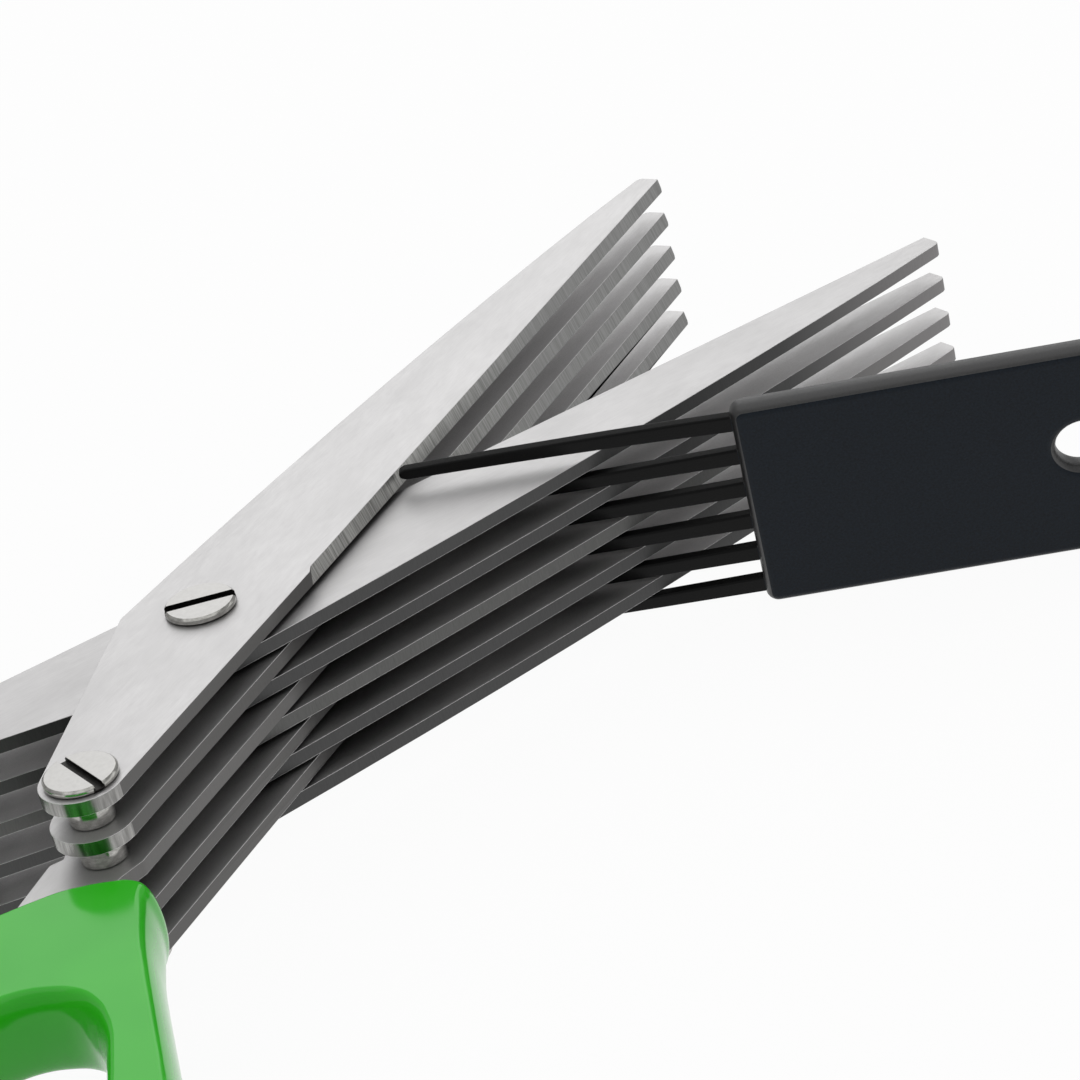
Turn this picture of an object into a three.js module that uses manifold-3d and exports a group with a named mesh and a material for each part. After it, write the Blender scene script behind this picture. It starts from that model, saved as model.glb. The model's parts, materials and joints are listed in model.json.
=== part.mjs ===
// Herb scissors: two sets of five blades on one pivot, with a moulded handle on the middle blade of each set and a cleaning comb pushed between the blades.
// Lengths are in millimetres and angles in degrees. The pivot is the Z axis, and Z is zero at the under side of the pivot nut. +X runs between the two sets towards the tips.
// A blade is drawn in its own frame: u along the blade from the pivot to the tip, v towards the spine. Set b is set a mirrored.
import * as THREE from "three";
import { mergeVertices, toCreasedNormals } from "three/addons/utils/BufferGeometryUtils.js";
import Module from "manifold-3d";

const wasm = await Module();
wasm.setup();
const { Manifold } = wasm;

const BLADES = {
  count: 5, // in each set, an odd number
  thick: 1.5,
  pitch: 4.25, // from one blade to the next of its own set
  opening: 24, // angle between the two sets
};
const BLADE = {
  length: 95.45, // from the pivot to the tip
  tipWidth: 3.06,
  tipBelow: 0.24, // the tip's middle, under the pivot's line
  tipRound: 0.45, // at the cutting edge
  tipEaseAlong: 1.1, // into the spine
  tipEaseAcross: 0.6,
  spineBow: 1.34,
  spineAbove: 7.39, // the spine's bend
  spineBehind: 3.23,
  edgeBelow: 8.29, // the edge's bend
  edgeBehind: 4.37,
  grindFrom: 8.04,
  grindRunOut: 1.1,
  grindSet: 0.48, // how far the ground face leans back at the top
};
const TAIL = { behind: 28.54, below: 5.63, radius: 4.07 };
const TANG = {
  start: 2.5, // behind the tail's centre
  startWidth: 8.05,
  startRise: 0.55, // its middle there, above the tail's centre
  length: 16.2,
  endWidth: 5.6,
  endDrop: 0.27, // its middle there, under the tail's centre
  round: 2.2,
};
const HEAD = { radius: 3.52, height: 0.8, chamfer: 0.22, neck: 0.3, neckHeight: 0.2 };
const SLOT = { pivotWidth: 1.15, postWidth: 0.85, depth: 0.5, pivotTurn: -39.2, postTurn: 65.5 };
const NUT = { height: 1, chamfer: 0.25 };
const SHAFT = { pivot: 2, post: 1.6, fit: 0.05, nutFit: 0.03 };
const WASHER = { wall: 1.15, play: 0.05 };
const SPACER = { wall: 0.55 };
const HANDLE = {
  thick: 8.8,
  clear: 0.5, // behind the tails
  below: 0.6, // its top line, under the pivot's line
  length: 70.4,
  width: 41.6,
  bulge: 1.4, // of its sides at half its thickness
  tangFit: 0.06,
};
const COMB = {
  along: 55.65, // where its plate starts, in set b's frame
  out: 13.38,
  turnAngle: 37.9, // from the blades of set b
  leanAngle: 12.7, // its upper edge leans out, away from the blades' tips
  length: 45,
  edge: 2.3, // from the outermost tine's middle to the plate's edge
  thick: 2.7,
  round: 1.15,
  cornerRound: 1.3,
  endRound: 8,
};
const HOLE = { fromEnd: 10.7, up: 0.9, radius: 2.9, rim: 0.5 };
const TINE = {
  bottomReach: 33.2,
  topGap: 0.1, // from the top tine's tip to the cutting edge of set a's top blade
  edgeGap: 1.2, // from the tips of the tines between them to the cutting edges of set a
  lift: 0.75, // the top tine is sprung up by the blade under it
  sink: 2,
  play: 0.375, // to the blade above and the blade below
  tipHeight: 1.3,
  thick: 1.1,
  round: 0.25,
};
const OVERRUN = 1; // of a cutting solid past what it cuts
const STEPS = { screw: 36, ring: 22, tail: 24, bow: 10, corner: 5, edge: 3, bulge: 4, outer: 76, inner: 48 };

// The handle's outline and finger hole, from its front end: shares of its length, then of its width.
const outerShares = [
  [0.155, 0.012], [0.119, 0.05], [0.081, 0.098], [0.045, 0.151], [0.018, 0.219],
  [0.002, 0.28], [0, 0.335], [0.027, 0.365], [0.103, 0.452], [0.175, 0.55],
  [0.227, 0.623], [0.294, 0.717], [0.359, 0.805], [0.46, 0.918], [0.6, 0.995],
  [0.75, 1], [0.885, 0.915], [0.975, 0.74], [1, 0.525], [0.965, 0.305],
  [0.87, 0.13], [0.745, 0.04], [0.59, 0.007], [0.4, 0], [0.26, 0.002],
];
const holeShares = [
  [0.296, 0.266], [0.266, 0.313], [0.25, 0.376], [0.249, 0.432], [0.268, 0.49],
  [0.298, 0.544], [0.333, 0.588], [0.392, 0.655], [0.49, 0.75], [0.61, 0.817],
  [0.73, 0.812], [0.827, 0.73], [0.88, 0.587], [0.875, 0.41], [0.81, 0.272],
  [0.695, 0.197], [0.56, 0.172], [0.429, 0.175], [0.348, 0.21],
];
const tipCutShare = 0.3; // of the tip's rounding, where its middle point lies

const MIDDLE = (BLADES.count - 1) / 2;
const STEP = BLADES.pitch / 2; // from a blade of one set to the next of the other
const BLADE_GAP = STEP - BLADES.thick;
const STACK = (BLADES.count - 1) * BLADES.pitch + STEP + BLADES.thick;
const TOP = NUT.height + STACK; // upper face of the top blade
const HALF = BLADES.opening / 2;
const BORE = SHAFT.pivot + SHAFT.fit;
const POST_BORE = SHAFT.post + SHAFT.fit;
const rad = THREE.MathUtils.degToRad;
const FULL_TURN = 360;

const SETS = {
  a: { side: 1, top: TOP },
  b: { side: -1, top: TOP - STEP },
};

const steel = new THREE.MeshStandardMaterial({
  color: 0xcfcdca,
  roughness: 0.38,
  metalness: 1,
});
const hardware = new THREE.MeshStandardMaterial({
  color: 0xc4c3c0,
  roughness: 0.22,
  metalness: 1,
});
const green = new THREE.MeshStandardMaterial({
  color: 0x3fb02e,
  roughness: 0.18,
  metalness: 0,
});
const black = new THREE.MeshStandardMaterial({
  color: 0x1c1f24,
  roughness: 0.5,
  metalness: 0,
});

// A closed geometry as a solid that can be cut and joined.
function solidOf(geometry) {
  const bare = new THREE.BufferGeometry()
    .setAttribute("position", geometry.getAttribute("position"))
    .setIndex(geometry.index);
  const merged = mergeVertices(bare);
  const corners = merged.index.array;
  const faces = [];
  for (let i = 0; i < corners.length; i += 3) {
    const [p, q, r] = corners.slice(i, i + 3);
    if (p !== q && q !== r && r !== p) faces.push(p, q, r);
  }
  return new Manifold(
    new wasm.Mesh({
      numProp: 3,
      vertProperties: merged.attributes.position.array,
      triVerts: new Uint32Array(faces),
    }),
  );
}

function geometryOf(solid) {
  const { numProp, numVert, vertProperties, triVerts } = solid.getMesh();
  const points = new Float32Array(numVert * 3);
  for (let i = 0; i < numVert; i++)
    points.set(vertProperties.subarray(i * numProp, i * numProp + 3), i * 3);
  return new THREE.BufferGeometry()
    .setAttribute("position", new THREE.BufferAttribute(points, 3))
    .setIndex(new THREE.BufferAttribute(new Uint32Array(triVerts), 1));
}

function addMesh(parent, name, geometry, material, place = [0, 0, 0]) {
  const bare = geometry.clone().deleteAttribute("uv");
  const mesh = new THREE.Mesh(toCreasedNormals(bare, rad(30)), material);
  mesh.name = name;
  mesh.position.set(...place);
  parent.add(mesh);
  return mesh;
}

const cut = (geometry, ...tools) =>
  geometryOf(tools.reduce((left, tool) => left.subtract(solidOf(tool)), solidOf(geometry)));

// A flat plate from an outline of [x, y] points, on Z = 0.
const plateOf = (outline, thick) =>
  new THREE.ExtrudeGeometry(
    new THREE.Shape(outline.map(([x, y]) => new THREE.Vector2(x, y))),
    { depth: thick, bevelEnabled: false },
  );

// A rod about Z that runs past both faces of a plate on Z = 0.
const drill = (radius, thick, [x, y]) =>
  new THREE.CylinderGeometry(radius, radius, thick + 2 * OVERRUN, STEPS.ring)
    .rotateX(rad(90))
    .translate(x, y, thick / 2);

// A solid turned about Z, from a profile of [radius, height] points that runs upwards on its outside.
const turned = (profile, steps) =>
  new THREE.LatheGeometry(
    profile.map(([radius, height]) => new THREE.Vector2(radius, height)),
    steps,
  ).rotateX(rad(90));

const ring = (inner, wall, height) =>
  turned(
    [
      [inner, 0],
      [inner + wall, 0],
      [inner + wall, height],
      [inner, height],
      [inner, 0],
    ],
    STEPS.ring,
  );

function arc([x, y], radius, from, to, steps) {
  return Array.from({ length: steps + 1 }, (_, i) => {
    const at = rad(THREE.MathUtils.lerp(from, to, i / steps));
    return [x + radius * Math.cos(at), y + radius * Math.sin(at)];
  });
}

// For each point of a loop, where it goes when the loop grows by one unit. Outer loops run anticlockwise.
function growth(loop) {
  return loop.map((point, i) => {
    const before = point.clone().sub(loop.at(i - 1)).normalize();
    const after = loop[(i + 1) % loop.length].clone().sub(point).normalize();
    const along = before.clone().add(after).normalize();
    return new THREE.Vector2(along.y, -along.x).divideScalar(along.dot(after));
  });
}

// A plate on Z = 0 whose edges curve in over a height at each face: a rounding, or a bulge where the
// two meet half-way. The outer loop runs anticlockwise and the holes clockwise.
function roundedPlate(outer, holes, thick, round, steps, height = round) {
  const loops = [outer, ...holes];
  const sideways = loops.map(growth);
  const quarter = Array.from({ length: steps + 1 }, (_, i) => {
    const at = ((i / steps) * Math.PI) / 2;
    return [round * (1 - Math.sin(at)), height * (1 - Math.cos(at))];
  });
  const upper = quarter.map(([inset, up]) => [inset, thick - up]).reverse();
  const levels = [...quarter, ...upper.slice(2 * height < thick ? 0 : 1)];
  const points = [];
  const faces = [];
  for (const [inset, z] of levels)
    loops.forEach((loop, l) =>
      loop.forEach((point, i) => {
        const moved = point.clone().addScaledVector(sideways[l][i], -inset);
        points.push(moved.x, moved.y, z);
      }),
    );
  const perLevel = loops.reduce((sum, loop) => sum + loop.length, 0);
  for (let k = 0; k + 1 < levels.length; k++) {
    let first = k * perLevel;
    for (const loop of loops) {
      for (let i = 0; i < loop.length; i++) {
        const [p, q] = [first + i, first + ((i + 1) % loop.length)];
        faces.push(p, q, q + perLevel, p, q + perLevel, p + perLevel);
      }
      first += loop.length;
    }
  }
  const topStart = (levels.length - 1) * perLevel;
  for (const [p, q, r] of THREE.ShapeUtils.triangulateShape(outer, holes)) {
    faces.push(topStart + p, topStart + q, topStart + r);
    faces.push(q, p, r);
  }
  return new THREE.BufferGeometry()
    .setAttribute("position", new THREE.Float32BufferAttribute(points, 3))
    .setIndex(faces);
}

const tailAt = [-TAIL.behind, -TAIL.below];
const spineBend = [-BLADE.spineBehind, BLADE.spineAbove];
const edgeBend = [-BLADE.edgeBehind, -BLADE.edgeBelow];
const tipSpine = BLADE.tipWidth / 2 - BLADE.tipBelow;
const tipEdge = tipSpine - BLADE.tipWidth;

// The direction, in degrees from the tail's centre, in which a line from a point touches its circle.
function touchAngle([u, v], side) {
  const [du, dv] = [u - tailAt[0], v - tailAt[1]];
  const spread = Math.acos(TAIL.radius / Math.hypot(du, dv));
  return THREE.MathUtils.radToDeg(Math.atan2(dv, du) + side * spread);
}

const spineTouch = touchAngle(spineBend, 1);
const edgeTouch = touchAngle(edgeBend, -1) + FULL_TURN;

// The spine bows out a little between the tip and its bend.
function spine() {
  return Array.from({ length: STEPS.bow - 1 }, (_, i) => {
    const at = (i + 1) / STEPS.bow;
    return [
      THREE.MathUtils.lerp(BLADE.length, spineBend[0], at),
      THREE.MathUtils.lerp(tipSpine, spineBend[1], at) + BLADE.spineBow * 4 * at * (1 - at),
    ];
  });
}

// The blunt end: a small corner at the cutting edge and a longer, easier one into the spine.
function tip() {
  const { length, tipRound, tipEaseAlong, tipEaseAcross } = BLADE;
  const cutBack = tipRound * tipCutShare;
  const ease = Array.from({ length: STEPS.edge + 1 }, (_, i) => {
    const at = ((i / STEPS.edge) * Math.PI) / 2;
    return [
      length - tipEaseAlong * (1 - Math.cos(at)),
      tipSpine - tipEaseAcross * (1 - Math.sin(at)),
    ];
  });
  return [
    [length - tipRound, tipEdge],
    [length - cutBack, tipEdge + cutBack],
    [length, tipEdge + tipRound],
    ...ease,
  ];
}

// The strap that goes into the handle, from its spine side round to its edge side, grown by a fit.
function tang(fit) {
  const start = tailAt[0] - TANG.start;
  const end = start - TANG.length;
  const [startHalf, endHalf] = [TANG.startWidth / 2 + fit, TANG.endWidth / 2 + fit];
  const [startAt, endAt] = [tailAt[1] + TANG.startRise, tailAt[1] - TANG.endDrop];
  return [
    [start, startAt + startHalf],
    ...arc([end + TANG.round, endAt + endHalf - TANG.round - fit], TANG.round + fit, 90, 180, STEPS.edge),
    ...arc([end + TANG.round, endAt - endHalf + TANG.round + fit], TANG.round + fit, 180, 270, STEPS.edge),
    [start, startAt - startHalf],
  ];
}

const roundTail = arc(tailAt, TAIL.radius, spineTouch, edgeTouch, STEPS.tail);
const tangTail = [roundTail[0], ...tang(0), roundTail.at(-1)];

// What the grinding wheel takes off: a wedge along the cutting edge, from a short run-out at its inner end.
function grinding() {
  const { grindFrom, grindSet, grindRunOut } = BLADE;
  const along = Math.atan2(tipEdge - edgeBend[1], BLADE.length - edgeBend[0]);
  const from = [grindFrom, edgeBend[1] + (grindFrom - edgeBend[0]) * Math.tan(along)];
  const reach = BLADE.length - grindFrom + OVERRUN;
  const top = BLADES.thick + OVERRUN;
  const topSet = (grindSet * top) / BLADES.thick;
  const wedge = new THREE.Shape([
    new THREE.Vector2(-OVERRUN, 0),
    new THREE.Vector2(0, 0),
    new THREE.Vector2(topSet, top),
    new THREE.Vector2(-OVERRUN, top),
  ]);
  const swept = new THREE.ExtrudeGeometry(wedge, { depth: reach, bevelEnabled: false })
    .rotateX(rad(90)) // its height now along Z
    .rotateZ(rad(90)); // and its depth along the blade
  const runOut = plateOf(
    [
      [-OVERRUN, -grindSet],
      [grindRunOut, grindSet],
      [grindRunOut, topSet + OVERRUN],
      [-OVERRUN, topSet + OVERRUN],
    ],
    BLADES.thick + 3 * OVERRUN,
  ).translate(0, 0, -OVERRUN);
  return cut(swept, runOut).rotateZ(along).translate(...from, 0);
}

const ground = grinding();

function bladeOf(tail) {
  const outline = [...tip(), ...spine(), spineBend, ...tail, edgeBend];
  return cut(
    plateOf(outline, BLADES.thick),
    ground,
    drill(BORE, BLADES.thick, [0, 0]),
    drill(POST_BORE, BLADES.thick, tailAt),
  );
}

// A screw on Z: a slotted, chamfered head on a plain shaft, with its seat at Z = 0.
function screw(shaft, below, slotWidth) {
  const { radius, height, chamfer, neck, neckHeight } = HEAD;
  const body = turned(
    [
      [0, -below],
      [shaft, -below],
      [shaft, 0],
      [radius - neck, 0],
      [radius - neck, neckHeight],
      [radius, neckHeight],
      [radius, height - chamfer],
      [radius - chamfer, height],
      [0, height],
    ],
    STEPS.screw,
  );
  const slot = new THREE.BoxGeometry(2 * (radius + OVERRUN), slotWidth, 2 * SLOT.depth);
  return cut(body, slot.translate(0, 0, height));
}

// A nut, its under side at Z = 0.
function nut(shaft) {
  const inner = shaft + SHAFT.nutFit;
  return turned(
    [
      [inner, 0],
      [HEAD.radius - NUT.chamfer, 0],
      [HEAD.radius, NUT.chamfer],
      [HEAD.radius, NUT.height],
      [inner, NUT.height],
      [inner, 0],
    ],
    STEPS.screw,
  );
}

// A closed smooth loop through points that are shares of the handle's length and width.
function handleLoop(shares, steps, clockwise) {
  const { clear, below, length, width } = HANDLE;
  const front = TAIL.behind + TAIL.radius + clear;
  const curve = new THREE.CatmullRomCurve3(
    shares.map(([s, t]) => new THREE.Vector3(-front - s * length, -below - t * width, 0)),
    true,
    "centripetal",
  );
  const loop = curve
    .getSpacedPoints(steps)
    .slice(0, steps)
    .map(({ x, y }) => new THREE.Vector2(x, y));
  return THREE.ShapeUtils.isClockWise(loop) === clockwise ? loop : loop.reverse();
}

const handlePlate = roundedPlate(
  handleLoop(outerShares, STEPS.outer, false),
  [handleLoop(holeShares, STEPS.inner, true)],
  HANDLE.thick,
  HANDLE.bulge,
  STEPS.bulge,
  HANDLE.thick / 2,
);
const handleLow = NUT.height + (STACK - HANDLE.thick) / 2;

// A handle, moulded round the middle blade's tang. Both handles lie level with the middle of the stack.
function handle(set) {
  const { tangFit } = HANDLE;
  const tangLow = set.top - MIDDLE * BLADES.pitch - BLADES.thick;
  const pocket = plateOf(tang(tangFit), BLADES.thick + 2 * tangFit);
  return cut(handlePlate, pocket.translate(0, 0, tangLow - tangFit - handleLow));
}

// A screw through the tails of one set, with spacers between them and a nut under them.
function addPost(group, letter, set) {
  const depth = (BLADES.count - 1) * BLADES.pitch + BLADES.thick;
  const at = (z) => [...tailAt, z];
  const screwBody = screw(SHAFT.post, depth + NUT.height, SLOT.postWidth);
  const head = addMesh(group, `post_${letter}_screw`, screwBody, hardware, at(set.top));
  head.rotation.z = rad(SLOT.postTurn);
  const nutAt = at(set.top - depth - NUT.height);
  addMesh(group, `post_${letter}_nut`, nut(SHAFT.post), hardware, nutAt);
  for (let i = 1; i < BLADES.count; i++) {
    const spacer = ring(POST_BORE, SPACER.wall, BLADES.pitch - BLADES.thick);
    const place = at(set.top - i * BLADES.pitch);
    addMesh(group, `post_${letter}_spacer_${i}`, spacer, hardware, place);
  }
}

// The pivot: its head clears the top blade by the washers' play, so that set a can turn.
function addPivot(group) {
  const { play, wall } = WASHER;
  const pivot = screw(SHAFT.pivot, STACK + NUT.height + play, SLOT.pivotWidth);
  const head = addMesh(group, "pivot_screw", pivot, hardware, [0, 0, TOP + play]);
  head.rotation.z = rad(SLOT.pivotTurn);
  addMesh(group, "pivot_nut", nut(SHAFT.pivot), hardware);
  // Each washer is seated on a blade of set b, above it or under it.
  const washer = ring(BORE, wall, BLADE_GAP - play);
  for (let i = 0; i < BLADES.count; i++) {
    const face = SETS.b.top - i * BLADES.pitch;
    addMesh(group, `pivot_washer_${2 * i + 1}`, washer, hardware, [0, 0, face]);
    if (i === BLADES.count - 1) continue;
    const under = face - BLADES.thick - BLADE_GAP + play;
    addMesh(group, `pivot_washer_${2 * i + 2}`, washer, hardware, [0, 0, under]);
  }
}

// A place given in a set's blade frame, in the part's frame.
const inSet = (set, u, v) =>
  new THREE.Vector2(u, set.side * v).rotateAround(new THREE.Vector2(), rad(set.side * HALF));

const combAt = inSet(SETS.b, COMB.along, COMB.out);
const combMiddle = SETS.b.top - MIDDLE * BLADES.pitch - BLADES.thick / 2;
const combHeading = -HALF - COMB.turnAngle;
const tines = BLADES.count + 1; // one above, one below and one in each space of set b
const tinePitch = BLADES.pitch / Math.cos(rad(COMB.leanAngle));
const tineHeight = BLADES.pitch - BLADES.thick - 2 * TINE.play;
const tineMiddle = (index) => ((tines - 1) / 2 - index) * tinePitch;

// How far a tine at this height can run before it meets the cutting edges of set a.
function roomFor(middle) {
  const forward = new THREE.Vector2(-1, 0).rotateAround(new THREE.Vector2(), rad(combHeading));
  const outward = new THREE.Vector2(0, 1).rotateAround(new THREE.Vector2(), rad(combHeading));
  const start = combAt.clone().addScaledVector(outward, -middle * Math.sin(rad(COMB.leanAngle)));
  const inner = inSet(SETS.a, ...edgeBend);
  const along = inSet(SETS.a, BLADE.length, tipEdge).sub(inner);
  return start.sub(inner).cross(along) / along.cross(forward);
}

// A tine's length to the start of its rounded tip.
function tineLength(index, tipHalf) {
  if (index === tines - 1) return TINE.bottomReach;
  if (index === 0) return roomFor(tineMiddle(0)) - TINE.topGap - tipHalf;
  const rooms = [1, tines - 2].map((i) => roomFor(tineMiddle(i)));
  return Math.min(...rooms) - TINE.edgeGap - tipHalf;
}

// A tine along -X from the plate's edge, in the comb's flat frame.
function tine(index) {
  const tipHalf = TINE.tipHeight / 2;
  const length = tineLength(index, tipHalf);
  const lift = index === 0 ? TINE.lift : 0;
  const middle = tineMiddle(index);
  const steps = lift ? STEPS.corner : 1;
  const stops = Array.from({ length: steps + 1 }, (_, i) => i / steps);
  const side = (sign) =>
    stops.map((at) => {
      const half = THREE.MathUtils.lerp(tineHeight, TINE.tipHeight, at) / 2;
      return [-at * length, middle + lift * (1 - (1 - at) ** 2) + sign * half];
    });
  const outline = [
    [TINE.sink, middle - tineHeight / 2],
    [TINE.sink, middle + tineHeight / 2],
    ...side(1),
    [-length - tipHalf, middle + lift + tipHalf / 2],
    [-length - tipHalf, middle + lift - tipHalf / 2],
    ...side(-1).reverse(),
  ].map(([x, y]) => new THREE.Vector2(x, y));
  return roundedPlate(outline, [], TINE.thick, TINE.round, 2).translate(0, 0, -TINE.thick / 2);
}

function combPlate() {
  const { length, cornerRound, endRound, thick, round } = COMB;
  const half = tineMiddle(0) + COMB.edge;
  const outline = [
    ...arc([length - endRound, half - endRound], endRound, 0, 90, STEPS.corner),
    ...arc([cornerRound, half - cornerRound], cornerRound, 90, 180, STEPS.corner),
    ...arc([cornerRound, cornerRound - half], cornerRound, 180, 270, STEPS.corner),
    ...arc([length - endRound, endRound - half], endRound, 270, 360, STEPS.corner),
  ].map(([x, y]) => new THREE.Vector2(x, y));
  const { fromEnd, up, radius, rim } = HOLE;
  const hole = turned(
    [
      [0, -rim],
      [radius + 2 * rim, -rim],
      [radius, rim],
      [radius, thick - rim],
      [radius + 2 * rim, thick + rim],
      [0, thick + rim],
    ],
    STEPS.screw,
  );
  const plate = roundedPlate(outline, [], thick, round, STEPS.edge);
  return cut(plate, hole.translate(length - fromEnd, up, 0)).translate(0, 0, -thick / 2);
}

// The comb is drawn flat, its long side along X and its height along Y, then stood up and turned.
function addComb(group) {
  const pieces = [combPlate(), ...Array.from({ length: tines }, (_, i) => tine(i))];
  const body = geometryOf(Manifold.union(pieces.map(solidOf)));
  const comb = addMesh(group, "comb", body, black, [combAt.x, combAt.y, combMiddle]);
  comb.rotation.set(rad(90 + COMB.leanAngle), 0, rad(combHeading), "ZYX");
}

const root = new THREE.Group();
root.name = "herb_scissors";
const roundBlade = bladeOf(roundTail);
const tangBlade = bladeOf(tangTail);
for (const [letter, set] of Object.entries(SETS)) {
  const group = new THREE.Group();
  group.name = `set_${letter}`;
  group.rotation.z = rad(set.side * HALF);
  group.scale.y = set.side;
  for (let i = 0; i < BLADES.count; i++) {
    const low = set.top - i * BLADES.pitch - BLADES.thick;
    const shape = i === MIDDLE ? tangBlade : roundBlade;
    addMesh(group, `blade_${letter}_${i + 1}`, shape, steel, [0, 0, low]);
  }
  addPost(group, letter, set);
  addMesh(group, `handle_${letter}`, handle(set), green, [0, 0, handleLow]);
  root.add(group);
}
addPivot(root);
addComb(root);

export default root;
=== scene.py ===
import json
import math
from contextlib import contextmanager

import bmesh
import bpy
from mathutils import Matrix, Vector

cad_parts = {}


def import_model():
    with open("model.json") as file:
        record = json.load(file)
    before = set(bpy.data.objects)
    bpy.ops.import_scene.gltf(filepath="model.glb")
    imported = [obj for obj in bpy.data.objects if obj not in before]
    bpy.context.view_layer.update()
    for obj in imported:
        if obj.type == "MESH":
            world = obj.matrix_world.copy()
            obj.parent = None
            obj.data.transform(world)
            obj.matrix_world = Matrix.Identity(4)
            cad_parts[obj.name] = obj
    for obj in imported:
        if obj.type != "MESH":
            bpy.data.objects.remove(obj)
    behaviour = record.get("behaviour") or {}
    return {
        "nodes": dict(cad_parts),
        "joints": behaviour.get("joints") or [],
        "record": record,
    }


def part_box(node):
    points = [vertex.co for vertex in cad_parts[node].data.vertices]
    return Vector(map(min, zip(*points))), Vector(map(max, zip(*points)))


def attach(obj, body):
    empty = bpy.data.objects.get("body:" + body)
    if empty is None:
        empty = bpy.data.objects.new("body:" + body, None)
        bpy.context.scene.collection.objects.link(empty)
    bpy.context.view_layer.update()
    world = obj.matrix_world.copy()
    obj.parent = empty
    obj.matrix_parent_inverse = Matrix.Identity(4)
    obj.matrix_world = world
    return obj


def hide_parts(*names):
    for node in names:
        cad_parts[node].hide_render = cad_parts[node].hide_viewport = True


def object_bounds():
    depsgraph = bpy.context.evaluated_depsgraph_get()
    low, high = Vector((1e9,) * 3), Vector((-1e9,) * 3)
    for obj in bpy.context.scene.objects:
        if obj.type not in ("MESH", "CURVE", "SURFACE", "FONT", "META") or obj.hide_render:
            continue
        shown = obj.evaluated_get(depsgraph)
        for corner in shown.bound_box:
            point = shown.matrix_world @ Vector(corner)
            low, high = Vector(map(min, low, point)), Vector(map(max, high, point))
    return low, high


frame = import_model()
cad_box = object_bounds()

MM = 0.001
HALF_OPENING = math.radians(12)  # each set is turned by this from +X
BLADE_COUNT = 5
MIDDLE_BLADE = 3  # the one with the tang
SETS = {"a": 1, "b": -1}  # the side on which a set's blades lie, for angles and mirroring

# Satin steel: the flat faces of the blades, each pair of colours the lighter and the darker; set b's
# pair is a little darker, as painted shade
SATIN_COLOURS_B_SHADED = {"a": ("#d2d1d1", "#cac9c9"), "b": ("#cccbcb", "#c4c3c3")}
SATIN_GRAIN = (1.6 * MM, 0.12 * MM, 1 * MM)
SATIN_CLOUD = (9 * MM, 4 * MM, 4 * MM)
SATIN_WEAR = 0.35  # of the darker colour, at most, along the grain
SATIN_ROUGHNESS = (0.47, 0.59)
SATIN_DEPTH = 0.002 * MM
# Painted shade between the blades: where a neighbour closes a face in, its colour is painted towards
# this dull grey
GAP_SHADE_COLOUR = "#4b4a4b"
GAP_SHADE_REACH = 4.8 * MM  # how near a neighbour must be for the painted shade between the blades to gather
GAP_SHADE_SHARES = (0.1, 0.45)  # of open space over a face, from where the painted shade is full to where there is none

# Sheared steel: the blanked edges of the blades. Their dark colours are painted shade, standing in for
# the dark surroundings the edges reflect; set b's are painted darker still, and the tang blades' edges
# are paler
SHADED_EDGE_COLOURS = {"a": ("#6b6a69", "#5b5a59"), "b": ("#575757", "#484848")}
TANG_SHADED_EDGE_COLOURS = {"a": ("#777675", "#656463"), "b": ("#6b6b6a", "#565655")}
TIP_EDGE_COLOUR = "#8a8888"
TIP_FADE = (68 * MM, 96 * MM)  # from the dark edge to the paler one at the tips, along X
TORN_MARK = (0.12 * MM, 0.12 * MM, 1.2 * MM)
TORN_SPREAD = (0.2, 0.8)
TORN_ROUGHNESS = (0.42, 0.55)
TORN_DEPTH = 0.004 * MM

# Ground steel: the cutting edges, each pair of colours the darker and the lighter
GROUND_COLOURS = {"notch": ("#82827f", "#b6b6b3"), "tip": ("#70706f", "#8a8a89")}
GROUND_SPREADS = {"notch": (0.38, 0.62), "tip": (0.35, 0.65)}
GROUND_FADE = (25 * MM, 60 * MM)  # from the notch's strong lines to the tip's fainter ones, along X
GROUND_LINE = (0.16 * MM, 6 * MM, 6 * MM)
GROUND_ROUGHNESS = (0.34, 0.44)
GROUND_DEPTH = 0.004 * MM
GROUND_RISE = (0.15, 0.6)  # how far the normal of a ground face points up

# Plated steel, by part: its least roughness, its lighter colour and its darker one
PLATED = {
    # The tail rims: light and dark colours in upright streaks, painted reflections
    "reflection_streaked_tail_rim": (0.2, "#a9a8a6", "#6f6e6c"),
    "plated_rim": (0.1, "#bdbcb8", "#8f8e8a"),
    "plated_face": (0.28, "#bcbbb9", "#aeadab"),
    # The slot's faces: a dark colour that is painted shade in the recess
    "shaded_slot_steel": (0.4, "#3a3938", "#232221"),
}
PLATED_SPREAD = 0.08  # from the least roughness to the most
TOOL_MARK = (0.6 * MM, 0.6 * MM, 0.25 * MM)
# Marks long along Z: upright streaks on the tail rims, painted reflections
RIM_REFLECTION_STREAK = (0.5 * MM, 0.5 * MM, 5 * MM)
TOOL_DEPTH = 0.004 * MM

# Green ABS
GREEN_COLOURS = ("#2cb21d", "#37bc26")
GREEN_SHADE = 14 * MM
GREEN_WAVE = 5 * MM
GREEN_ROUGHNESS = (0.1, 0.16)
GREEN_DEPTH = 0.02 * MM
ABS_IOR = 1.46

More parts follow.
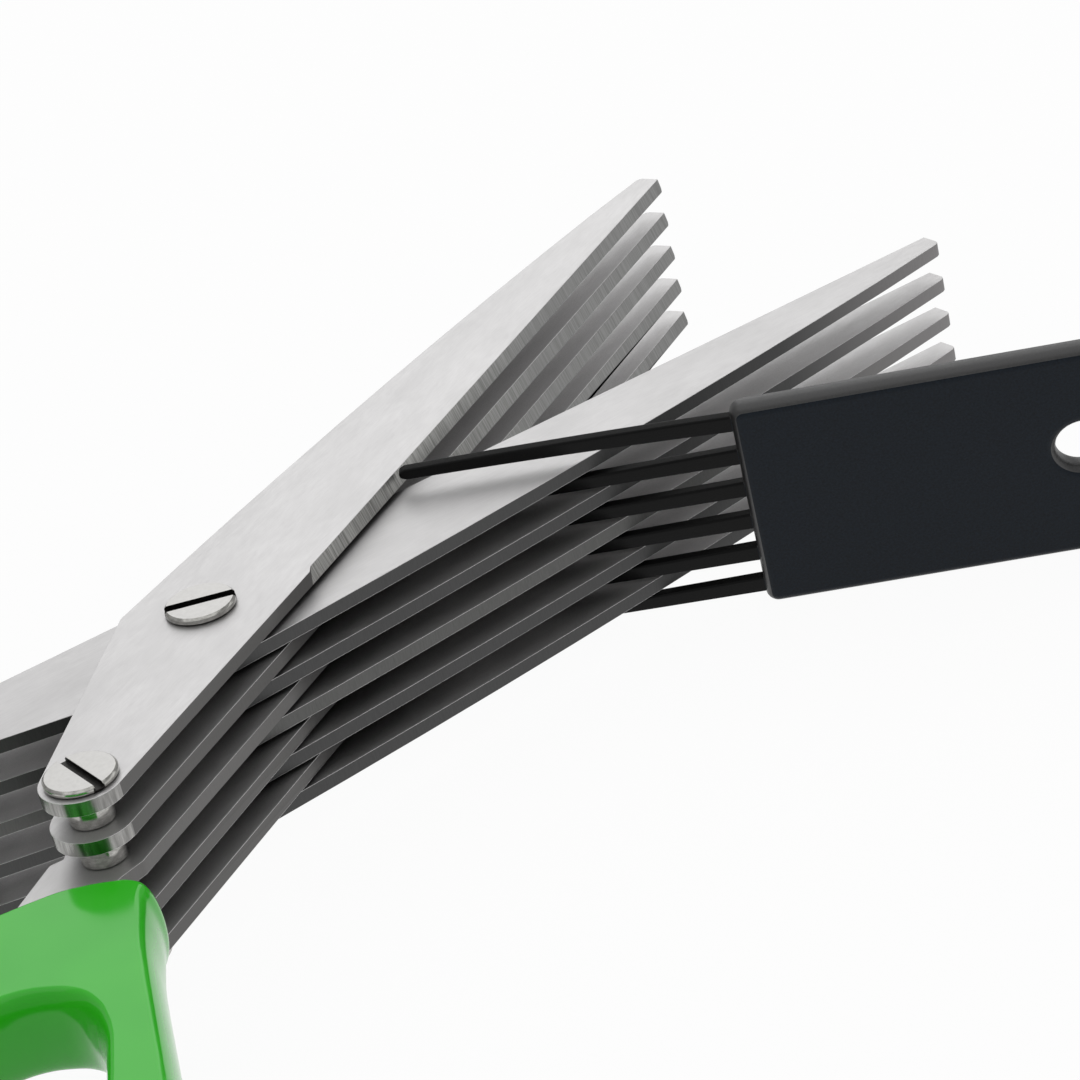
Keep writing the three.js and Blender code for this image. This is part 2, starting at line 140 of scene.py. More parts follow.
# Black polypropylene, by finish: its specular level, its lighter colour and its darker one
BLACK = {
    "textured_black_polypropylene": (0.15, "#171f28", "#0c1219"),
    # A lit copy of the plate's plastic, glossier and lighter grey: a painted highlight on the comb's
    # round edges
    "highlit_black_polypropylene": (0.9, "#222223", "#0e0e0f"),
    # The tines' plastic, darker than the plate: partly their own tone, partly painted shade between the
    # blades
    "smooth_shaded_black_polypropylene": (0.12, "#0b0b0b", "#050505"),
}
TOOTH = 0.25 * MM
TOOTH_ROUGHNESS = (0.34, 0.5)
TOOTH_DEPTH = 0.02 * MM
POLYPROPYLENE_IOR = 1.49

# Telling faces apart
LEVEL = 0.99  # a face is level where its normal points this far up or down
SQUARE = 0.9  # a face is square to an axis where its normal points this far along it
SAME_PLACE = 0.01 * MM
WELD = 0.0005 * MM  # points nearer than this become one
CURVE_WELD = 0.001 * MM
FLAT_WITHIN = math.radians(0.5)  # faces that turn by less than this become one
CURVE_FLAT_WITHIN = math.radians(0.1)
SHARP_CORNER = math.radians(40)  # a corner that turns by more than this is broken or rounded
SHARP_HEAD_CORNER = math.radians(30)

EDGE_BREAK = 0.05 * MM  # the narrow chamfer that tumbling leaves on a blade's edges
TAIL_REACH = 1.02  # times the tail's farthest point from the post: a face within that is its rim's
OVERRUN = 1 * MM  # by which the slot's cutter passes the head
TURNED_STEPS = 96  # round a whole circle

SHAFT_RADII = {"pivot": 2 * MM, "post": 1.6 * MM}
COLLAR_FIT = 0.05 * MM
HEAD_HEIGHT = 0.8 * MM
HEAD_BREAK = 0.07 * MM
HEAD_NECK = 0.3 * MM
HEAD_NECK_HEIGHT = 0.2 * MM
HEAD_CHAMFER = 0.22 * MM
PIVOT_SLOT_WIDTH = 1.15 * MM
POST_SLOT_WIDTH = 0.85 * MM
SLOT_DEPTH = 0.5 * MM
SLOT_SIDE_SHARE = 0.6  # of the slot's width from its middle line, within which a face is the slot's
PIVOT_SLOT_TURN = math.radians(-39.2)
POST_SLOT_TURN = math.radians(77.5)
SMALL_CHAMFER = 0.1 * MM

HANDLE_BULGE = 1.4 * MM  # of its sides at half its thickness
TANG_LENGTH = 16.4 * MM
TANG_WIDTH = 8.05 * MM
TANG_MIDDLE = 10.6 * MM  # from the post's axis
TANG_FIT = 0.1 * MM

COMB_LENGTH = 45 * MM
COMB_THICK = 2.7 * MM
COMB_ROUND = 1.15 * MM
COMB_CORNER = 1.3 * MM
COMB_END = 8 * MM
COMB_EDGE = 2.3 * MM  # from the outermost tine's middle to the plate's edge
HOLE_FROM_END = 10.7 * MM
HOLE_UP = 0.9 * MM
HOLE_RADIUS = 2.9 * MM
TINES = 6
TINE_HEIGHT = 2.0 * MM
TINE_TIP_HEIGHT = 1.3 * MM
TINE_TIP_SHARE = 0.5  # of that height is left at the very tip
TINE_THICK = 1.1 * MM
TINE_ROUND = 0.25 * MM
TINE_SINK = 2 * MM
TOP_TINE_LIFT = 0.75 * MM
TINE_STEPS = 8

CAMERA_AT = Vector((-0.18921, -0.24853, 0.18573))
CAMERA_RIGHT = Vector((0.63772, -0.74505, -0.19548))
CAMERA_UP = Vector((0.47509, 0.18070, 0.86118))
LENS = 122.3  # mm, for a 36 mm sensor
SENSOR = 36
PICTURE_WHITE = "#ffffff"
FLOOR_SIZE = 20
FLOOR_DROP = 0.1 * MM
FLOOR_COLOUR = "#dedede"
FLOOR_ROUGHNESS = 0.9
FLOOR_WHITE_SHARE = 0.95
ROOM_LEVEL = 0.45
ROOM_LEVEL_OVERHEAD = 0.6
ROOM_RISE = (0.1, 0.9)  # how far up a direction points where the room starts and ends to brighten

# Square lamps: where each stands, its side in metres and its power in watts
SOFTBOXES = {
    "key": ((0.52, 0.39, 0.51), 0.7, 1.6),
    "fill": ((0.50, -0.35, 0.15), 0.5, 0.5),
    "overhead": ((-0.10, -0.05, 0.6), 0.9, 1.15),
}


# Working on one object

def activate(piece):
    bpy.ops.object.select_all(action="DESELECT")
    piece.select_set(True)
    bpy.context.view_layer.objects.active = piece


@contextmanager
def editing(piece, mode="FACE", everything=True):
    activate(piece)
    bpy.ops.object.mode_set(mode="EDIT")
    bpy.ops.mesh.select_mode(type=mode)
    bpy.ops.mesh.select_all(action="SELECT" if everything else "DESELECT")
    yield bmesh.from_edit_mesh(piece.data)
    bpy.ops.object.mode_set(mode="OBJECT")


def apply(piece, kind, **settings):
    """Adds a modifier to a piece and applies it."""
    modifier = piece.modifiers.new(kind.lower(), kind)
    for key, value in settings.items():
        setattr(modifier, key, value)
    activate(piece)
    bpy.ops.object.modifier_apply(modifier=modifier.name)


def named(name):
    piece = bpy.context.object
    piece.name = name
    return piece


def box(name, size, middle, turn=0.0):
    bpy.ops.object.select_all(action="DESELECT")
    bpy.ops.mesh.primitive_cube_add(size=1, location=middle, rotation=(0, 0, turn), scale=size)
    bpy.ops.object.transform_apply(location=True, rotation=True, scale=True)
    return named(name)


def carve(piece, tool, operation="DIFFERENCE"):
    apply(piece, "BOOLEAN", operation=operation, solver="EXACT", object=tool)
    bpy.data.objects.remove(tool)


def smooth(piece, angle):
    """Smooth shading below an angle in degrees, in which the large flat faces stay flat."""
    activate(piece)
    bpy.ops.object.shade_smooth_by_angle(angle=math.radians(angle))
    apply(piece, "WEIGHTED_NORMAL", keep_sharp=True)


def copy_of(node, name):
    """A copy of a CAD node's mesh, with its loose triangles joined and its flat faces whole."""
    piece = bpy.data.objects.new(name, frame["nodes"][node].data.copy())
    bpy.context.scene.collection.objects.link(piece)
    piece.data.materials.clear()
    activate(piece)
    bpy.ops.mesh.customdata_custom_splitnormals_clear()
    with editing(piece):
        bpy.ops.mesh.remove_doubles(threshold=WELD)
        bpy.ops.mesh.dissolve_limited(angle_limit=FLAT_WITHIN)
    return piece


def body_of(node):
    bodies = frame["record"]["behaviour"]["bodies"]
    return next(name for name, nodes in bodies.items() if node in nodes)


def settle(piece, node, slot, *materials):
    """The piece stands for its CAD node, rides on the node's body and takes any materials it lacks."""
    for material in materials:
        if material.name not in piece.data.materials:
            piece.data.materials.append(material)
    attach(piece, body_of(node))
    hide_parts(node)


# Materials

def colour(code):
    """A hex sRGB colour as linear RGBA."""
    def linear(level):
        return level / 12.92 if level <= 0.04045 else ((level + 0.055) / 1.055) ** 2.4

    return (*(linear(int(code[i : i + 2], 16) / 255) for i in (1, 3, 5)), 1)


def add(tree, kind, inputs, **settings):
    """Adds a node with its settings; an input is a value, or the output that feeds it."""
    node = tree.nodes.new(kind)
    for key, value in settings.items():
        setattr(node, key, value)
    for key, value in inputs.items():
        if isinstance(value, bpy.types.NodeSocket):
            tree.links.new(value, node.inputs[key])
        else:
            node.inputs[key].default_value = value
    return node


def begin(name, **constants):
    """A material with its Principled shader, whose constant sockets are set here."""
    made = bpy.data.materials.new(name)
    made.use_nodes = True
    tree = made.node_tree
    shader = tree.nodes["Principled BSDF"]
    for key, value in constants.items():
        shader.inputs[key.replace("_", " ")].default_value = value
    return made, tree, shader


def grain(tree, size, turn=0.0, detail=3.0, roughness=0.6):
    """Noise whose marks have this size along each axis, in metres, after a turn about Z."""
    place_on = add(tree, "ShaderNodeTexCoord", {})
    turned_to = add(
        tree, "ShaderNodeMapping",
        {"Vector": place_on.outputs["Object"], "Rotation": (0, 0, turn)},
        vector_type="TEXTURE",
    )
    scaled = add(
        tree, "ShaderNodeMapping",
        {"Vector": turned_to.outputs["Vector"], "Scale": tuple(1 / s for s in size)},
    )
    noise = add(
        tree, "ShaderNodeTexNoise",
        {"Vector": scaled.outputs["Vector"], "Scale": 1, "Detail": detail, "Roughness": roughness},
    )
    return noise.outputs["Fac"]


def between(tree, factor, low, high, start=0.3, end=0.7):
    """A number that runs from low to high while the factor runs from start to end."""
    return add(
        tree, "ShaderNodeMapRange",
        {"Value": factor, "From Min": start, "From Max": end, "To Min": low, "To Max": high},
    ).outputs["Result"]


def blend_colours(tree, factor, first, second, start=0.3, end=0.7):
    ramp = add(tree, "ShaderNodeValToRGB", {"Fac": factor})
    ramp.color_ramp.elements[0].position = start
    ramp.color_ramp.elements[1].position = end
    ramp.color_ramp.elements[0].color = colour(first)
    ramp.color_ramp.elements[1].color = colour(second)
    return ramp.outputs["Color"]


def along_x(tree, low, high):
    """A number that runs from 0 to 1 while X in the piece runs from low to high."""
    place_on = add(tree, "ShaderNodeTexCoord", {})
    parts = add(tree, "ShaderNodeSeparateXYZ", {"Vector": place_on.outputs["Object"]})
    return between(tree, parts.outputs["X"], 0.0, 1.0, low, high)


def mix_colours(tree, factor, first, second):
    return add(
        tree, "ShaderNodeMix", {0: factor, 6: first, 7: second}, data_type="RGBA"
    ).outputs[2]


def bump(tree, shader, height, depth, strength=1.0):
    made = add(
        tree, "ShaderNodeBump", {"Height": height, "Distance": depth, "Strength": strength}
    )
    tree.links.new(made.outputs["Normal"], shader.inputs["Normal"])


def satin_steel(name, turn, light, dark):
    """Stainless strip, belt-ground lengthwise and tumbled: a pale satin with a fine grain along it.
    Where neighbours close a face in, it is painted dull grey, as shade between the blades."""
    made, tree, shader = begin(name, Metallic=1.0)
    fine = grain(tree, SATIN_GRAIN, turn)
    cloud = grain(tree, SATIN_CLOUD, turn, detail=2)
    tone = blend_colours(tree, cloud, dark, light)
    worn = mix_colours(tree, between(tree, fine, 0.0, SATIN_WEAR), tone, colour(dark))
    # Painted shade: ambient occlusion from the neighbouring blades darkens the colour in the gaps
    open_to = add(tree, "ShaderNodeAmbientOcclusion", {"Distance": GAP_SHADE_REACH}, samples=8)
    unshaded = between(tree, open_to.outputs["AO"], 0.0, 1.0, *GAP_SHADE_SHARES)
    gap_shaded = mix_colours(tree, unshaded, colour(GAP_SHADE_COLOUR), worn)
    tree.links.new(gap_shaded, shader.inputs["Base Color"])
    tree.links.new(between(tree, fine, *SATIN_ROUGHNESS), shader.inputs["Roughness"])
    bump(tree, shader, fine, SATIN_DEPTH, strength=0.6)
    return made


def shaded_sheared_steel(name, turn, light, dark):
    """The blanked edge of the strip: torn upright marks in a dark colour, painted shade that stands in
    for the dark surroundings the edge reflects, and paler towards the tips, along X."""
    made, tree, shader = begin(name, Metallic=1.0)
    torn = grain(tree, TORN_MARK, turn, detail=4)
    # Painted shade: the torn marks in the dark edge colours
    scale = blend_colours(tree, torn, dark, light, *TORN_SPREAD)
    shown = mix_colours(tree, along_x(tree, *TIP_FADE), scale, colour(TIP_EDGE_COLOUR))
    tree.links.new(shown, shader.inputs["Base Color"])
    tree.links.new(between(tree, torn, *TORN_ROUGHNESS), shader.inputs["Roughness"])
    bump(tree, shader, torn, TORN_DEPTH)
    return made


def ground_steel(name, turn):
    """The cutting edge as the wheel leaves it: bright lines across the edge, which are strong by the
    notch and fade towards the tip."""
    made, tree, shader = begin(name, Metallic=1.0)
    lines = grain(tree, GROUND_LINE, turn, detail=4)
    strong, faint = (
        blend_colours(tree, lines, *GROUND_COLOURS[end], *GROUND_SPREADS[end])
        for end in ("notch", "tip")
    )
    shown = mix_colours(tree, along_x(tree, *GROUND_FADE), strong, faint)
    tree.links.new(shown, shader.inputs["Base Color"])
    tree.links.new(between(tree, lines, *GROUND_ROUGHNESS), shader.inputs["Roughness"])
    bump(tree, shader, lines, GROUND_DEPTH)
    return made


def plated_steel(name, mark=TOOL_MARK):
    """Nickel-plated turned steel: a bright sheen, with faint marks from the turning tool."""
    rough, light, dark = PLATED[name]
    made, tree, shader = begin(name, Metallic=1.0)
    marks = grain(tree, mark, detail=4)
    tree.links.new(blend_colours(tree, marks, dark, light), shader.inputs["Base Color"])
    tree.links.new(between(tree, marks, rough, rough + PLATED_SPREAD), shader.inputs["Roughness"])
    bump(tree, shader, marks, TOOL_DEPTH, strength=0.5)
    return made


def green_plastic():
    """Moulded ABS from a polished tool: a deep even colour with a gloss and a slight waviness."""
    made, tree, shader = begin("glossy_green_abs", IOR=ABS_IOR)
    shade = grain(tree, (GREEN_SHADE,) * 3, detail=2)
    wave = grain(tree, (GREEN_WAVE,) * 3, detail=1)
    tree.links.new(blend_colours(tree, shade, *GREEN_COLOURS), shader.inputs["Base Color"])
    tree.links.new(between(tree, wave, *GREEN_ROUGHNESS), shader.inputs["Roughness"])
    bump(tree, shader, wave, GREEN_DEPTH, strength=0.4)
    return made


def black_plastic(name):
    """Moulded polypropylene from a spark-eroded tool: near black, with a fine speckled tooth."""
    level, light, dark = BLACK[name]
    made, tree, shader = begin(name, IOR=POLYPROPYLENE_IOR, Specular_IOR_Level=level)
    tooth = grain(tree, (TOOTH,) * 3)
    tree.links.new(blend_colours(tree, tooth, dark, light), shader.inputs["Base Color"])
    tree.links.new(between(tree, tooth, *TOOTH_ROUGHNESS), shader.inputs["Roughness"])
    bump(tree, shader, tooth, TOOTH_DEPTH)
    return made


# Blades

def post_axis(letter):
    low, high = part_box(f"post_{letter}_screw")
    return Vector(((low.x + high.x) / 2, (low.y + high.y) / 2, 0))


def blade(letter, number, finishes):
    """A refined copy of a blade: its faces sorted by how they were made, and its sharp edges broken."""
    node = f"blade_{letter}_{number}"
    piece = copy_of(node, f"fine_{node}")
    post = post_axis(letter)
    tail = TAIL_REACH * max(
        (Vector((v.co.x, v.co.y, 0)) - post).length
        for v in piece.data.vertices
        if (v.co - post).xy.dot(post.xy) > 0
    )
    for finish in finishes:
        piece.data.materials.append(finish)
    flat, sheared, ground, rim = range(4)
    for face in piece.data.polygons:
        lift = face.normal.z
        to_post = (Vector(face.center) - post).xy.length
        if abs(lift) > LEVEL:
            face.material_index = flat
        elif GROUND_RISE[0] < lift < GROUND_RISE[1]:
            face.material_index = ground
        elif to_post < tail and number != MIDDLE_BLADE:
            face.material_index = rim
        else:
            face.material_index = sheared
    apply(
        piece, "BEVEL", width=EDGE_BREAK, segments=2, limit_method="ANGLE",
        angle_limit=SHARP_CORNER, material=flat,
    )
    smooth(piece, angle=30)
    settle(piece, node, "blade_steel")


def blades():
    # The tail rims' colours run in upright streaks along Z, painted reflections of the stack's
    # surroundings
    polished = plated_steel("reflection_streaked_tail_rim", RIM_REFLECTION_STREAK)
    for letter, side in SETS.items():
        turn = side * HALF_OPENING
        # Set b's satin colours are painted a little darker, as shade
        satin = satin_steel(f"satin_steel_{letter}", turn, *SATIN_COLOURS_B_SHADED[letter])
        # The edges' dark colours are painted shade
        outer = shaded_sheared_steel(f"shaded_sheared_steel_{letter}", turn, *SHADED_EDGE_COLOURS[letter])
        middle = shaded_sheared_steel(f"shaded_sheared_steel_{letter}_tang", turn, *TANG_SHADED_EDGE_COLOURS[letter])
        ground = ground_steel(f"ground_steel_{letter}", turn)
        for number in range(1, BLADE_COUNT + 1):
            sheared = middle if number == MIDDLE_BLADE else outer
            blade(letter, number, [satin, sheared, ground, polished])


# Screws, nuts, spacers and washers

def turned(name, profile, closed=False):
    """A body turned about Z: a circle at the profile's first place, drawn out to each next one."""
    bpy.ops.object.select_all(action="DESELECT")
    (radius, height), *_ = profile
    bpy.ops.mesh.primitive_circle_add(
        vertices=TURNED_STEPS, radius=radius, fill_type="NOTHING" if closed else "NGON"
    )
    piece = named(name)
    piece.data.transform(Matrix.Translation((0, 0, height)))
    with editing(piece, "EDGE" if closed else "FACE"):
        for (r0, z0), (r1, z1) in zip(profile, profile[1:]):
            bpy.ops.mesh.extrude_region_move(TRANSFORM_OT_translate={"value": (0, 0, z1 - z0)})
            bpy.ops.transform.resize(value=(r1 / r0, r1 / r0, 1), center_override=(0, 0, z1))
        bpy.ops.mesh.select_all(action="SELECT")
        bpy.ops.mesh.remove_doubles(threshold=WELD)
        bpy.ops.mesh.normals_make_consistent(inside=False)
    return piece


def screw(node, slot_turn, slot_width, finishes):
    """A slotted head with an undercut neck on a plain shaft."""
    low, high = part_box(node)
    radius = (high.x - low.x) / 2
    shaft = SHAFT_RADII[node.split("_")[0]]
    seat = high.z - HEAD_HEIGHT
    piece = turned(
        f"turned_{node}",
        [
            (shaft - SMALL_CHAMFER, low.z),
            (shaft, low.z + SMALL_CHAMFER),
            (shaft, seat),
            (radius - HEAD_NECK, seat),
            (radius - HEAD_NECK, seat + HEAD_NECK_HEIGHT),
            (radius, seat + HEAD_NECK_HEIGHT),
            (radius, high.z - HEAD_CHAMFER),
            (radius - HEAD_CHAMFER, high.z),
        ],
    )
    reach = 2 * (radius + OVERRUN)
    slot = box("slot", (reach, slot_width, 2 * SLOT_DEPTH), (0, 0, high.z), slot_turn)
    carve(piece, slot)
    for finish in finishes:
        piece.data.materials.append(finish)
    across = Vector((-math.sin(slot_turn), math.cos(slot_turn), 0))
    rim, top, slotted = range(3)
    for face in piece.data.polygons:
        # Faces inside the slot take the dark slot colour, painted shade in the recess
        within = abs(face.center.dot(across)) < SLOT_SIDE_SHARE * slot_width
        if within and seat < face.center.z < high.z - HEAD_CHAMFER:
            face.material_index = slotted
        else:
            face.material_index = top if face.normal.z > LEVEL else rim
    apply(
        piece, "BEVEL", width=HEAD_BREAK, segments=3, limit_method="ANGLE",
        angle_limit=SHARP_HEAD_CORNER,
    )
    smooth(piece, angle=40)
    piece.data.transform(Matrix.Translation(((low.x + high.x) / 2, (low.y + high.y) / 2, 0)))
    settle(piece, node, "polished_steel")


def collar(node, inner, finish):
    """A nut, spacer or washer: a ring with its outer edges broken."""
    low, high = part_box(node)
    outer = (high.x - low.x) / 2
    broken = SMALL_CHAMFER
    piece = turned(
        f"turned_{node}",
        [
            (inner, low.z),
            (outer - broken, low.z),
            (outer, low.z + broken),
            (outer, high.z - broken),
            (outer - broken, high.z),
            (inner, high.z),
            (inner, low.z),
        ],
        closed=True,
    )
    smooth(piece, angle=30)
    piece.data.transform(Matrix.Translation(((low.x + high.x) / 2, (low.y + high.y) / 2, 0)))
    settle(piece, node, "polished_steel", finish)


def fasteners():
    finishes = [plated_steel(name) for name in ("plated_rim", "plated_face", "shaded_slot_steel")]
    screw("pivot_screw", PIVOT_SLOT_TURN, PIVOT_SLOT_WIDTH, finishes)
    for letter, side in SETS.items():
        screw(f"post_{letter}_screw", side * POST_SLOT_TURN, POST_SLOT_WIDTH, finishes)
    for node in frame["nodes"]:
        if "washer" in node or "spacer" in node or "nut" in node:
            collar(node, SHAFT_RADII[node.split("_")[0]] + COLLAR_FIT, finishes[0])


# Handles

def handle(letter, side, finish):
    """A flat curve through the CAD handle's outline and finger hole, thickened with bulging sides."""
    node = f"handle_{letter}"
    low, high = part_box(node)
    middle = (low.z + high.z) / 2
    piece = copy_of(node, f"moulded_{node}")
    with editing(piece):
        bpy.ops.mesh.bisect(
            plane_co=(0, 0, middle), plane_no=(0, 0, 1), clear_inner=True, clear_outer=True
        )
    bpy.ops.object.convert(target="CURVE")
    piece = bpy.context.object
    bpy.ops.object.mode_set(mode="EDIT")
    bpy.ops.curve.select_all(action="SELECT")
    bpy.ops.curve.spline_type_set(type="BEZIER")
    bpy.ops.curve.handle_type_set(type="AUTOMATIC")
    bpy.ops.object.mode_set(mode="OBJECT")
    outline = piece.data
    outline.dimensions = "2D"
    outline.fill_mode = "BOTH"
    outline.resolution_u = 6
    outline.bevel_depth = HANDLE_BULGE
    outline.bevel_resolution = 8
    outline.offset = -HANDLE_BULGE
    bpy.ops.object.convert(target="MESH")
    piece = bpy.context.object
    piece.name = f"moulded_{node}"
    rise = (high.z - low.z) / 2 / HANDLE_BULGE
    piece.data.transform(Matrix.Translation((0, 0, middle)) @ Matrix.Scale(rise, 4, (0, 0, 1)))
    with editing(piece):
        bpy.ops.mesh.remove_doubles(threshold=CURVE_WELD)
        bpy.ops.mesh.dissolve_limited(angle_limit=CURVE_FLAT_WITHIN)
        bpy.ops.mesh.normals_make_consistent(inside=False)
    tang_low, tang_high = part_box(f"blade_{letter}_{MIDDLE_BLADE}")
    carve(piece, tang_pocket(letter, side, tang_low.z, tang_high.z))
    smooth(piece, angle=30)
    settle(piece, node, "green_plastic", finish)


def tang_pocket(letter, side, low, high):
    """What the middle blade's tang takes out of its handle, a little wider than the tang."""
    post = post_axis(letter)
    along = Vector((-math.cos(HALF_OPENING), -side * math.sin(HALF_OPENING), 0))
    middle = post + along * TANG_MIDDLE
    middle.z = (low + high) / 2
    size = (TANG_LENGTH, TANG_WIDTH + 2 * TANG_FIT, high - low + 2 * TANG_FIT)
    return box("pocket", size, middle, side * HALF_OPENING)


# Comb

def comb_axes():
    """The comb's own frame: X out along it, Z square to its plate, its origin where the plate starts."""
    slide = next(j for j in frame["joints"] if j["name"] == "comb_slide")
    out = Vector(slide["axis"]).normalized()
    mount = next(m for m in frame["record"]["mounts"] if m["name"] == "comb_plate_face")
    face = Vector(mount["axis"]).normalized()
    up = face.cross(out)
    turn = Matrix((out, up, face)).transposed()
    local = [turn.transposed() @ v.co for v in frame["nodes"]["comb"].data.vertices]
    end = max(p.x for p in local)
    start = end - COMB_LENGTH
    heights = [p.y for p in local if p.x > start + COMB_CORNER]
    depths = [p.z for p in local]
    origin = Vector((start, (max(heights) + min(heights)) / 2, (max(depths) + min(depths)) / 2))
    half_height = (max(heights) - min(heights)) / 2
    matrix = turn.to_4x4() @ Matrix.Translation(origin)
    return matrix, half_height, [p - origin for p in local]


def plate(half_height):
    """The grip: a flat plate with round corners, rounded edges and a hole to hang it by."""
    piece = box(
        "comb_plate", (COMB_LENGTH, 2 * half_height, COMB_THICK), (COMB_LENGTH / 2, 0, 0)
    )
    for x, radius in ((0, COMB_CORNER), (COMB_LENGTH, COMB_END)):
        with editing(piece, "EDGE", everything=False) as mesh:
            for edge in mesh.edges:
                edge.select = all(abs(v.co.x - x) < SAME_PLACE for v in edge.verts) and (
                    abs(edge.verts[0].co.z - edge.verts[1].co.z) > COMB_THICK / 2
                )
            bmesh.update_edit_mesh(piece.data)
            bpy.ops.mesh.bevel(offset=radius, segments=12, affect="EDGES")
    bpy.ops.object.select_all(action="DESELECT")
    bpy.ops.mesh.primitive_cylinder_add(
        vertices=TURNED_STEPS, radius=HOLE_RADIUS, depth=2 * COMB_THICK,
        location=(COMB_LENGTH - HOLE_FROM_END, HOLE_UP, 0),
    )
    bpy.ops.object.transform_apply(location=True)
    carve(piece, named("hole"))
    apply(
        piece, "BEVEL", width=COMB_ROUND, segments=6, limit_method="ANGLE",
        angle_limit=SHARP_CORNER,
    )
    return piece


def tine(index, middle, reach):
    """A tapering tine along -X; the top one is sprung up by the blade under it."""
    length = reach - TINE_TIP_HEIGHT / 2
    lift = TOP_TINE_LIFT if index == 0 else 0
    piece = box(
        f"tine_{index + 1}", (TINE_SINK, TINE_HEIGHT, TINE_THICK), (TINE_SINK / 2, middle, 0)
    )
    with editing(piece, everything=False) as mesh:
        for face in mesh.faces:
            face.select = face.normal.x < -SQUARE
        bmesh.update_edit_mesh(piece.data)
        height, rise = TINE_HEIGHT, 0
        for step in range(1, TINE_STEPS + 1):
            at = step / TINE_STEPS
            next_rise = lift * (1 - (1 - at) ** 2)
            next_height = TINE_HEIGHT + (TINE_TIP_HEIGHT - TINE_HEIGHT) * at
            bpy.ops.mesh.extrude_region_move(
                TRANSFORM_OT_translate={"value": (-length / TINE_STEPS, next_rise - rise, 0)}
            )
            bpy.ops.transform.resize(
                value=(1, next_height / height, 1),
                center_override=(-length * at, middle + next_rise, 0),
            )
            height, rise = next_height, next_rise
        bpy.ops.mesh.extrude_region_move(
            TRANSFORM_OT_translate={"value": (length - reach, 0, 0)}
        )
        bpy.ops.transform.resize(
            value=(1, TINE_TIP_SHARE, 1), center_override=(-reach, middle + lift, 0)
        )
    apply(
        piece, "BEVEL", width=TINE_ROUND, segments=4, limit_method="ANGLE",
        angle_limit=SHARP_CORNER,
    )
    return piece


def comb(moulded, highlit, tines):
    """The comb in one piece: its flat faces, its round edge with a painted highlight and its tines,
    painted darker partly as shade.
    """
    matrix, half_height, local = comb_axes()
    piece = plate(half_height)
    pitch = 2 * (half_height - COMB_EDGE) / (TINES - 1)
    for index in range(TINES):
        middle = half_height - COMB_EDGE - index * pitch
        reach = -min(p.x for p in local if abs(p.y - middle) < pitch / 2)
        carve(piece, tine(index, middle, reach), "UNION")
    piece.name = "moulded_comb"
    finishes = [moulded, highlit, tines]
    for finish in finishes:
        piece.data.materials.append(finish)
    # The tines take the darker plastic, partly painted shade; the round edges take the lit copy, a
    # painted highlight
    for face in piece.data.polygons:
        if face.center.x < 0:
            face.material_index = finishes.index(tines)
        else:
            level = abs(face.normal.z) > SQUARE
            face.material_index = finishes.index(moulded if level else highlit)
    piece.data.transform(matrix)
    smooth(piece, angle=35)
    settle(piece, "comb", "black_plastic")


# Studio

def background_rays(tree):
    """One for the rays that show the background: straight to the camera, reflected or let through."""
    path = add(tree, "ShaderNodeLightPath", {})
    seen = path.outputs["Is Camera Ray"]
    for kind in ("Is Glossy Ray", "Is Transmission Ray"):
        seen = add(
            tree, "ShaderNodeMath", {0: seen, 1: path.outputs[kind]}, operation="MAXIMUM"
        ).outputs[0]
    return seen


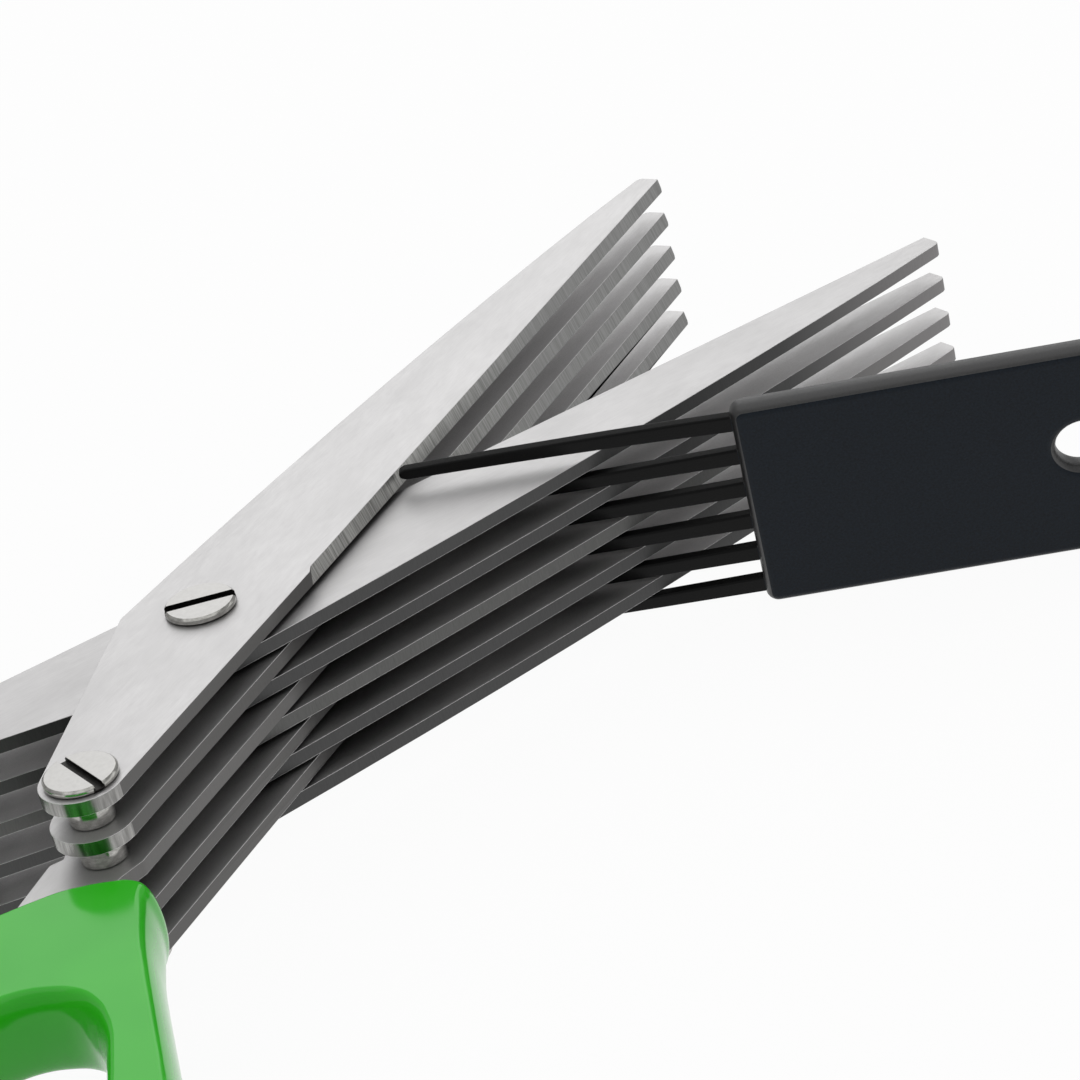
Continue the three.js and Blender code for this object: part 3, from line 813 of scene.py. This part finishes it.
def floor():
    """A pale floor under the lowest point, which shows white to the camera, with a faint shadow."""
    low = cad_box[0][2]
    bpy.ops.object.select_all(action="DESELECT")
    bpy.ops.mesh.primitive_plane_add(size=FLOOR_SIZE, location=(0, 0, low - FLOOR_DROP))
    bpy.ops.object.transform_apply(location=True)
    piece = named("floor")
    made, tree, shader = begin(
        "pale_floor", Base_Color=colour(FLOOR_COLOUR), Roughness=FLOOR_ROUGHNESS
    )
    white = add(tree, "ShaderNodeEmission", {"Color": colour(PICTURE_WHITE), "Strength": 1})
    share = add(
        tree, "ShaderNodeMath", {0: background_rays(tree), 1: FLOOR_WHITE_SHARE},
        operation="MULTIPLY",
    )
    mixed = add(
        tree, "ShaderNodeMixShader",
        {0: share.outputs[0], 1: shader.outputs[0], 2: white.outputs[0]},
    )
    tree.links.new(mixed.outputs[0], tree.nodes["Material Output"].inputs["Surface"])
    piece.data.materials.append(made)


def world():
    """An even pale room, a little brighter overhead."""
    made = bpy.data.worlds.new("studio")
    bpy.context.scene.world = made
    made.use_nodes = True
    tree = made.node_tree
    tree.nodes.clear()
    direction = add(tree, "ShaderNodeTexCoord", {}).outputs["Generated"]
    height = add(tree, "ShaderNodeSeparateXYZ", {"Vector": direction}).outputs["Z"]
    level = between(tree, height, ROOM_LEVEL, ROOM_LEVEL_OVERHEAD, *ROOM_RISE)
    shown = add(
        tree, "ShaderNodeBackground", {"Color": colour(PICTURE_WHITE), "Strength": level}
    )
    add(tree, "ShaderNodeOutputWorld", {"Surface": shown.outputs[0]})


def softbox(name, stand, size, power):
    """A square lamp that faces the blades."""
    lamp = bpy.data.lights.new(name, "AREA")
    lamp.size = size
    lamp.energy = power
    held = bpy.data.objects.new(name, lamp)
    bpy.context.scene.collection.objects.link(held)
    held.location = stand
    held.rotation_euler = (-Vector(stand)).to_track_quat("-Z", "Y").to_euler()


def camera():
    lens = bpy.data.cameras.new("camera")
    lens.lens = LENS
    lens.sensor_width = SENSOR
    held = bpy.data.objects.new("camera", lens)
    bpy.context.scene.collection.objects.link(held)
    back = CAMERA_RIGHT.cross(CAMERA_UP)
    axes = Matrix((CAMERA_RIGHT, CAMERA_UP, back)).transposed()
    held.matrix_world = Matrix.Translation(CAMERA_AT) @ axes.to_4x4()
    bpy.context.scene.camera = held


blades()
fasteners()
green = green_plastic()
for letter, side in SETS.items():
    handle(letter, side, green)
comb(*(black_plastic(name) for name in BLACK))
floor()
world()
for name, (stand, size, power) in SOFTBOXES.items():
    softbox(name, stand, size, power)
camera()
bpy.context.scene.view_settings.view_transform = "Standard"
